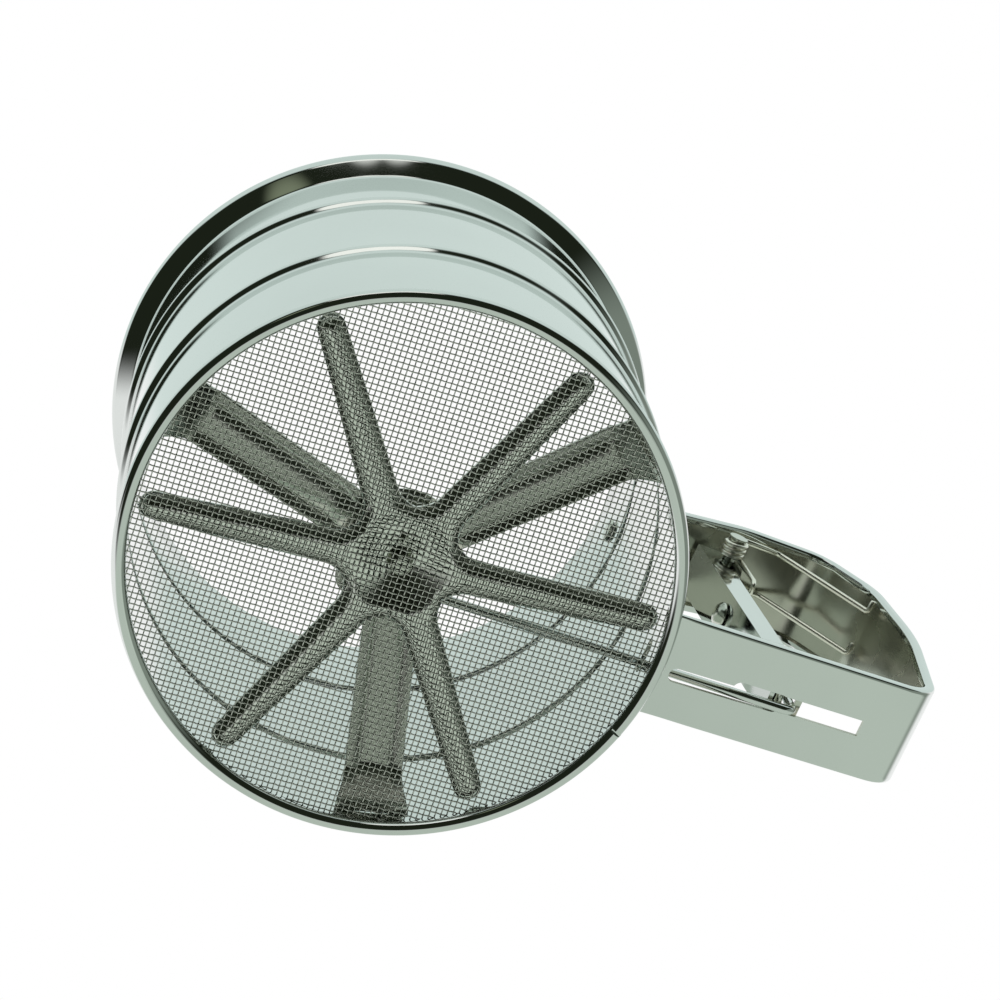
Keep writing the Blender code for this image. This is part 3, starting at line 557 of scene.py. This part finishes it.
def build_spider():
    """Pressed sheet spider: hub disc and three arms with two grooves each, feet bent on to the wall."""
    front = node_box("spider_bracket")[1].z - SPIDER_PRESS_DEPTH
    points, faces = [], []
    stations = [(x, 0.0, SPIDER_ROOT_HALF + SPIDER_FLARE * x / SPIDER_FOOT[0][0])
                for x in np.linspace(*SPIDER_ARM_X, 22)] + list(SPIDER_FOOT)
    offsets = [g + GROOVE_HALF * k for g in SPIDER_GROOVES for k in (-1.0, -0.5, 0.0, 0.5, 1.0)]
    across = sorted([-1.0, -0.95] + [o / 5.0 for o in offsets] + [0.0, 0.95, 1.0])
    for arm in range(SPIDER_ARMS):
        turn = SPIDER_PHASE + arm * math.tau / SPIDER_ARMS
        start = len(points)
        for x, drop, half in stations:
            fade = min(max((x - PRESSED_X[0]) / 2.0, 0.0), 1.0) * min(max(PRESSED_X[1] - x, 0.0), 1.0)
            for share in across:
                y = share * half
                near = min(abs(share * 5.0 - g) for g in SPIDER_GROOVES)
                dent = GROOVE_DEPTH * fade * math.cos(math.pi * min(near / GROOVE_HALF, 1.0) / 2.0) ** 2
                edge = CHANNEL_DEPTH * fade * (1.0 - abs(share))
                points.append((CUP_X + x * math.cos(turn) - y * math.sin(turn),
                               x * math.sin(turn) + y * math.cos(turn), front - drop + dent + edge))
        row = len(across)
        for i in range(len(stations) - 1):
            for j in range(row - 1):
                a = start + i * row + j
                faces.append((a, a + 1, a + row + 1, a + row))
    mesh = mesh_from("spider_arms", points, faces)
    thickness(show("spider_arms", mesh, "sifter", SATIN, "satin_steel", "spider_bracket"), SPIDER_SHEET)
    profile = [(r, front + 0.02 + z * 0.9) for r, z in SPIDER_HUB] + [(2.2, front + 0.83)]
    turned("spider_hub", profile, "sifter", SATIN, "satin_steel", 64)


# ---------------------------------------------------------------- cup and ring


ROUND_STEPS = 240
WALL_R, WALL_T = 48.8, 0.8
WALL_FOOT = (3.7, 4.2)
BEADS = (32.0, 67.5)
BEAD_HALF, BEAD_OUT = 1.75, 1.2
RIM_SLOPE = 52.0
CURL = (50.5, 92.0)
CURL_R = 2.0
ROD_Z = 9.9
ROD_HOLE_R = 1.7
ROD_HOLE_RUN = ((-0.7, 0.0), (2.7, 0.0))
RIVET_Z = 75.95
RIVET_HOLE_R = 2.0
RING_R, RING_INNER_R, RING_TOP = 50.0, 47.4, 3.4
RING_ROLL_R = 1.3
RING_SEAM = math.radians(16.0)
RING_SEAM_CUT = ((47.8, -0.3), (51.8, -0.3), (51.8, 0.3), (47.8, 0.3))


def bead_offset(z):
    """How far a raised bead pushes the wall out at a height."""
    for middle in BEADS:
        if abs(z - middle) < BEAD_HALF:
            return BEAD_OUT * math.cos(math.pi / 2.0 * (z - middle) / BEAD_HALF) ** 2
    return 0.0


def cut_wall_holes(made, rod_hole_r, low, high):
    """The pull rod's slotted hole and the rivet's hole, between two distances from the axis."""
    for loop, z in ((capsule(*ROD_HOLE_RUN, rod_hole_r), ROD_Z),
                    (arc((0.0, 0.0), RIVET_HOLE_R, 0.0, 360.0, 32)[:-1], RIVET_Z)):
        cut(made, *prism(loop, lambda a, b, x: (CUP_X + x, a, z + b), low, high))


def build_cup():
    """Rolled wall with two raised beads, sloping out under the curled rim."""
    heights = list(WALL_FOOT)
    for middle in BEADS:
        heights += [middle - BEAD_HALF - 2.0]
        heights += [middle + BEAD_HALF * (k / 10.0 - 1.0) for k in range(21)]
        heights += [middle + BEAD_HALF + 2.0]
    profile = [(WALL_R - WALL_T, 90.6)] + arc(CURL, CURL_R, 150.0, -RIM_SLOPE, 36)
    slope = 1.0 / math.tan(math.radians(RIM_SLOPE))
    foot = profile[-1][1] - (profile[-1][0] - WALL_R) * slope
    profile.append((WALL_R + 0.6, foot + 0.6 * slope))
    start, corner = Vector((WALL_R + 0.4, foot + 0.4 * slope)), Vector((WALL_R, foot))
    end = Vector((WALL_R, foot - 0.6))
    for k in range(9):
        t = k / 8.0
        profile.append(tuple(start * (1 - t) ** 2 + corner * 2 * t * (1 - t) + end * t * t))
    profile += [(WALL_R + bead_offset(z), z) for z in reversed(heights)]
    profile += [(WALL_R - WALL_T + bead_offset(z), z) for z in heights]
    cup = turned("cup_wall", profile, "sifter", POLISHED, "polished_steel", ROUND_STEPS,
                 replaced=("cup_body",))
    cut_wall_holes(cup, ROD_HOLE_R, 44.0, 52.0)
    cup.data.set_sharp_from_angle(angle=math.radians(SHARP_DEG))


def build_ring():
    """The mesh ring: a round roll with a stepped edge, notched at its seam."""
    profile = [(RING_INNER_R, RING_TOP - 0.2), (RING_INNER_R + 0.2, RING_TOP)]
    profile += arc((RING_R - 1.0, RING_TOP - 0.3), 0.3, 90.0, 16.0, 5)
    profile += arc((RING_R - RING_ROLL_R, RING_ROLL_R), RING_ROLL_R, 0.0, -180.0, 24)
    ring = turned("mesh_ring_rolled", profile, "sifter", POLISHED, "polished_steel", ROUND_STEPS,
                  replaced=("mesh_ring",))
    radial = Vector((math.cos(RING_SEAM), math.sin(RING_SEAM)))

    def lay(a, b, z):
        return (CUP_X + radial.x * a - radial.y * b, radial.y * a + radial.x * b, z)

    cut(ring, *prism(RING_SEAM_CUT, lay, -1.0, 0.9))
    ring.data.set_sharp_from_angle(angle=math.radians(SHARP_DEG))


# ---------------------------------------------------------------- handle


HANDLE_HALF_W, HANDLE_T = 9.8, 1.0
HEM_T, HEM_W = 2.2, 1.2
HEM_R = 0.75
HEM_FADE = (52.0, 5.0)
WALL_HUG = (60.0, 9.0)
LEG_SLOPE, LEG_Z_AT_50 = 0.2376, 4.87
# Corners of the outside face, from the upper flange round to the lower one, each with its bend radius
HANDLE_CORNERS = (
    ((50.1, 82.0), 0.0),
    ((50.1, 69.9), 3.0),
    ((73.5, 81.6), 20.0),
    ((91.5, 84.2), 9.0),
    ((101.8, 74.0), 12.0),
    ((105.9, 51.0), 60.0),
    ((103.2, LEG_Z_AT_50 + LEG_SLOPE * 53.2), 9.0),
    ((49.1, LEG_Z_AT_50 - LEG_SLOPE * 0.9), 1.6),
    ((49.1, 17.0), 0.0),
)
# The lower leg's slot: the rod's run, the bulge that lets its hook in, and the stretch it travels
SLOT_LOOPS = (
    ((53.6, 1.2), (73.5, 1.0), 1.35),
    ((66.3, 0.3), (74.4, 0.3), 1.6),
)
SLOT_TRAVEL = ((73.2, -1.17), (91.4, -1.17), (91.4, 1.97), (73.2, 1.97))
INSIDE_HALF_W = 8.4
LOOP_MIDDLE = (78.0, 45.0)


def handle_section(x):
    """The strip's section (y, depth): thin in the middle, its edges rolled inwards into round hems."""
    share = min(max((x - HEM_FADE[0]) / HEM_FADE[1], 0.02), 1.0)
    thick = HANDLE_T + (HEM_T - HANDLE_T) * share
    radius = min(thick / 2.0, HEM_R)
    turn_y = HANDLE_HALF_W - radius
    right = arc((turn_y, radius), radius, -90.0, 0.0, 6) + arc((turn_y, thick - radius), radius, 0.0, 90.0, 6)
    fold = HANDLE_HALF_W - HEM_W - 0.5
    right += [(fold + 0.25, thick), (fold, HANDLE_T + (thick - HANDLE_T) * 0.4), (fold - 0.1, HANDLE_T)]
    flat = [-0.95, -0.8, -0.5, -0.2, 0.2, 0.5, 0.8, 0.95]
    section = [(turn_y * f, 0.0) for f in flat] + right
    section += [((fold - 0.1) * f, HANDLE_T) for f in reversed(flat)]
    section += [(-y, depth) for y, depth in reversed(right)]
    return section


def build_handle():
    """The strip swept round its corners, its flanges curved to the wall, slotted and drilled, with painted
    shade on the faces inside its loop.
    """
    path = rounded([((x, z), r) for (x, z), r in HANDLE_CORNERS], 14)
    fine = [path[0]]
    for before, after in zip(path, path[1:]):
        parts = max(1, math.ceil((after - before).length / 2.5))
        fine += [before.lerp(after, k / parts) for k in range(1, parts + 1)]
    points, faces = [], []
    for i, here in enumerate(fine):
        before, after = fine[max(i - 1, 0)], fine[min(i + 1, len(fine) - 1)]
        into = (here - before).normalized() if i else (after - here).normalized()
        out = (after - here).normalized() if i < len(fine) - 1 else into
        along = (into + out).normalized()
        right = Vector((along.y, -along.x)) / max(along.dot(into), 0.5)
        for y, depth in handle_section(here.x):
            x, z = here + right * depth
            drop = WALL_R - math.sqrt(WALL_R ** 2 - y ** 2)
            share = min(max((WALL_HUG[0] - x) / WALL_HUG[1], 0.0), 1.0)
            points.append((CUP_X + x - drop * share, y, z))
    count = len(points) // len(fine)
    for i in range(len(fine) - 1):
        for j in range(count):
            k = (j + 1) % count
            faces.append((i * count + j, i * count + k, (i + 1) * count + k, (i + 1) * count + j))
    faces.append(tuple(reversed(range(count))))
    faces.append(tuple(range(len(points) - count, len(points))))
    mesh = mesh_from("handle_loop", points, faces, True, SHARP_DEG)
    strip = show("handle_loop", mesh, "sifter", POLISHED, "polished_steel", "handle_strip")

    def lying(a, b, z):
        return (CUP_X + a, b, z)

    for loop in [capsule(*run) for run in SLOT_LOOPS] + [SLOT_TRAVEL]:
        cut(strip, *prism(loop, lying, -12.0, 18.0))
    cut_wall_holes(strip, ROD_HOLE_R + 0.4, 46.0, 56.0)
    strip.data.set_sharp_from_angle(angle=math.radians(SHARP_DEG))
    # The faces that look into the loop take the darker inner steel: painted shade inside the loop, on a
    # rougher finish
    strip.data.materials.append(INNER)
    middle = Vector((CUP_X + LOOP_MIDDLE[0], 0.0, LOOP_MIDDLE[1])) * MM
    for face in strip.data.polygons:
        if abs(face.center.y) < INSIDE_HALF_W * MM and face.normal.dot(middle - face.center) > 0.0:
            face.material_index = 1


# ---------------------------------------------------------------- rod, springs and small pieces


PIVOT = (70.8, 72.0)
ROD_R = 0.9
ROD_OUT = Vector((77.0, 0.7))
ROD_IN = Vector((-5.5, 6.0625))
ROD_BEND_R = 1.7
ROD_END_Z = (6.3, 17.6)
SPRING_R, SPRING_WIRE_R = 1.95, 0.55
COIL_START_DEG = 120.0
COIL_STEP_DEG = 12.0
# Each spring: name, the node it stands for, where its coil starts and ends, the coil's end angle and whole
# turns, the long leg's y at its bends, and the lower leg's corners
SPRINGS = (
    ("spring_outer", "trigger_spring_outer", (-8.85, -5.45), 0.0, 3, (-7.4, -6.1, -8.2),
     ((74.19, -5.45, 61.0), (74.3, -4.95, 60.0), (74.3, -3.4, 60.0))),
    ("spring_inner", "trigger_spring_inner", (0.9, -1.45), -180.0, 1, (2.0, 3.3, 1.2),
     ((69.57, -1.45, 60.67),)),
)

BODIES = frame["record"]["behaviour"]["bodies"]
EASE_DEG = 35.0
# Small CAD pieces shown with rounded edges: finish and bevel width
EASED = (
    ("trigger_lever", POLISHED, 0.35),
    ("trigger_tongue", SATIN, 0.2),
    ("trigger_rivet", SATIN, 0.15),
    ("pivot_bracket", SATIN, 0.2),
    ("pivot_pin", SATIN, 0.12),
    ("pivot_clip", SATIN, 0.1),
    ("bracket_rivet", SATIN, 0.12),
    ("handle_rivet", SATIN, 0.15),
    ("crank_plate", SATIN, 0.25),
    ("crank_peg", SATIN, 0.12),
    ("agitator_shaft", SATIN, 0.12),
    ("shaft_washer", SATIN, 0.15),
    ("shaft_clip", SATIN, 0.12),
)


def build_rod():
    """Straight wire, hooked down through the crank and up through the slot."""
    path = rounded([((*ROD_IN, ROD_END_Z[0]), 0.0), ((*ROD_IN, ROD_Z), ROD_BEND_R),
                    ((*ROD_OUT, ROD_Z), ROD_BEND_R), ((*ROD_OUT, ROD_END_Z[1]), 0.0)])
    mesh = mesh_from("rod_wire", *tube(path, ROD_R, 20))
    show("rod_wire", mesh, "rod", ROD, "polished_steel", "pull_rod")


def spring_path(coil_y, end_deg, turns, leg_y, lower):
    """Long leg with its bent tip, the coil on the pin, then the lower leg's corners."""
    corners = [((100.2, leg_y[2], 69.7), 0.0), ((99.9, leg_y[1], 69.5), 0.6), ((81.5, leg_y[0], 80.4), 1.5)]
    coil = []
    total = turns * 360.0 + COIL_START_DEG - end_deg
    steps = round(total / COIL_STEP_DEG)
    for i in range(steps + 1):
        share = i / steps
        angle = math.radians(COIL_START_DEG - total * share)
        coil.append(Vector((PIVOT[0] + SPRING_R * math.cos(angle),
                            coil_y[0] + (coil_y[1] - coil_y[0]) * share,
                            PIVOT[1] + SPRING_R * math.sin(angle))))
    leg = rounded(corners + [(tuple(coil[0]), 0.0)], 8)
    tail = rounded([(tuple(coil[-1]), 0.0)] + [(p, 0.6) for p in lower[:-1]] + [(lower[-1], 0.0)], 6)
    return leg[:-1] + coil + tail[1:]


def build_springs():
    """Both torsion springs, each swept as one wire through its long leg, coil and lower leg."""
    for name, node, coil_y, end_deg, turns, leg_y, lower in SPRINGS:
        path = spring_path(coil_y, end_deg, turns, leg_y, lower)
        mesh = mesh_from(name, *tube(path, SPRING_WIRE_R))
        mesh.transform(Matrix.Scale(MM, 4))
        mesh.materials.append(SPRING)
        made = bpy.data.objects.new(name, mesh)
        bpy.context.scene.collection.objects.link(made)
        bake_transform(made)
        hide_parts(node)


def body_of(node):
    return next(name for name, part in BODIES.items() if node in part)


def ease(node, material, width):
    """Stand a copy of a small CAD node in for it, with its sharp edges rounded over."""
    part = next(p for p in frame["record"]["subparts"] if p["node"] == node)
    mesh = frame["nodes"][node].data.copy()
    work = bmesh.new()
    work.from_mesh(mesh)
    bmesh.ops.remove_doubles(work, verts=work.verts, dist=0.000002)
    bmesh.ops.dissolve_limit(work, angle_limit=math.radians(1.0), verts=work.verts, edges=work.edges)
    bmesh.ops.recalc_face_normals(work, faces=work.faces)
    bmesh.ops.scale(work, verts=work.verts, vec=(1.0 / MM,) * 3)
    work.to_mesh(mesh)
    work.free()
    mesh.name = node + "_eased"
    mesh.shade_smooth()
    mesh.set_sharp_from_angle(angle=math.radians(EASE_DEG))
    made = show(node + "_eased", mesh, body_of(node), material, part["material_slot"], node)
    bevel = made.modifiers.new("edges", "BEVEL")
    bevel.width = width * MM
    bevel.segments = 3
    bevel.limit_method = "ANGLE"
    bevel.angle_limit = math.radians(EASE_DEG)
    bevel.harden_normals = True


def build_small_pieces():
    for node, material, width in EASED:
        ease(node, material, width)


# ---------------------------------------------------------------- stage


FLOOR_HALF = 3.0
FLOOR_GAP = 0.0004


def build_camera():
    data = bpy.data.cameras.new("camera")
    data.lens = CAMERA_LENS
    data.sensor_width = 36.0
    data.clip_start, data.clip_end = 0.01, 20.0
    made = bpy.data.objects.new("camera", data)
    made.location = Vector(CAMERA_AT) * MM
    made.rotation_euler = [math.radians(a) for a in CAMERA_TURN]
    bpy.context.scene.collection.objects.link(made)
    bpy.context.scene.camera = made
    return made


def build_floor():
    """A pale floor that shows only from above, so the view of the mesh end stays open."""
    mesh = bpy.data.meshes.new("floor")
    z = cad_box[0].z - FLOOR_GAP
    corners = [(x * FLOOR_HALF, y * FLOOR_HALF, z) for x, y in ((-1, -1), (1, -1), (1, 1), (-1, 1))]
    mesh.from_pydata(corners, [], [(0, 1, 2, 3)])
    made = bpy.data.objects.new("floor", mesh)
    bpy.context.scene.collection.objects.link(made)
    material, tree, shader = new_material("floor_pale")
    shader.inputs["Base Color"].default_value = (0.86, 0.88, 0.87, 1.0)
    shader.inputs["Roughness"].default_value = 0.7
    clear = tree.nodes.new("ShaderNodeBsdfTransparent")
    side = tree.nodes.new("ShaderNodeNewGeometry")
    mix = tree.nodes.new("ShaderNodeMixShader")
    link(tree, side.outputs["Backfacing"], mix.inputs["Fac"])
    link(tree, shader.outputs["BSDF"], mix.inputs[1])
    link(tree, clear.outputs["BSDF"], mix.inputs[2])
    link(tree, mix.outputs["Shader"], tree.nodes["Material Output"].inputs["Surface"])
    mesh.materials.append(material)
    made.visible_shadow = False
    made.visible_diffuse = False
    made.visible_glossy = False
    made.visible_transmission = False


def zone(tree, direction, aim, inner_deg, outer_deg):
    """1 within inner_deg of aim, falling smoothly to 0 at outer_deg."""
    dot = tree.nodes.new("ShaderNodeVectorMath")
    dot.operation = "DOT_PRODUCT"
    dot.inputs[1].default_value = Vector(aim).normalized()
    link(tree, direction, dot.inputs[0])
    fade = tree.nodes.new("ShaderNodeMapRange")
    fade.interpolation_type = "SMOOTHSTEP"
    fade.inputs["From Min"].default_value = math.cos(math.radians(outer_deg))
    fade.inputs["From Max"].default_value = math.cos(math.radians(inner_deg))
    link(tree, dot.outputs["Value"], fade.inputs["Value"])
    return fade.outputs["Result"]


def build_world(camera):
    """White to the eye. In reflections a pale tent with a dark room above and behind the camera."""
    world = bpy.data.worlds.new("studio")
    bpy.context.scene.world = world
    world.use_nodes = True
    tree = world.node_tree
    back = tree.nodes["Background"]
    direction = tree.nodes.new("ShaderNodeTexCoord").outputs["Generated"]
    axes = camera.rotation_euler.to_matrix()
    right, up, toward = axes.col[0], axes.col[1], axes.col[2]
    colour = STUDIO_WHITE
    for azimuth, elevation, inner, outer, shade in STUDIO_PATCHES:
        a, e = math.radians(azimuth), math.radians(elevation)
        aim = right * (math.cos(e) * math.sin(a)) + up * math.sin(e) + toward * (math.cos(e) * math.cos(a))
        colour = mix_colour(tree, zone(tree, direction, aim, inner, outer), colour, shade)
    path = tree.nodes.new("ShaderNodeLightPath")
    colour = mix_colour(tree, path.outputs["Is Camera Ray"], colour, (1.0, 1.0, 1.0))
    link(tree, colour, back.inputs["Color"])
    back.inputs["Strength"].default_value = 1.0


def build_stage():
    camera = build_camera()
    build_floor()
    build_world(camera)
    bpy.context.scene.view_settings.view_transform = "Standard"


def build_all():
    dress_cad_nodes()
    build_weave()
    build_agitator()
    build_spider()
    build_cup()
    build_ring()
    build_handle()
    build_rod()
    build_springs()
    build_small_pieces()
    build_stage()


build_all()
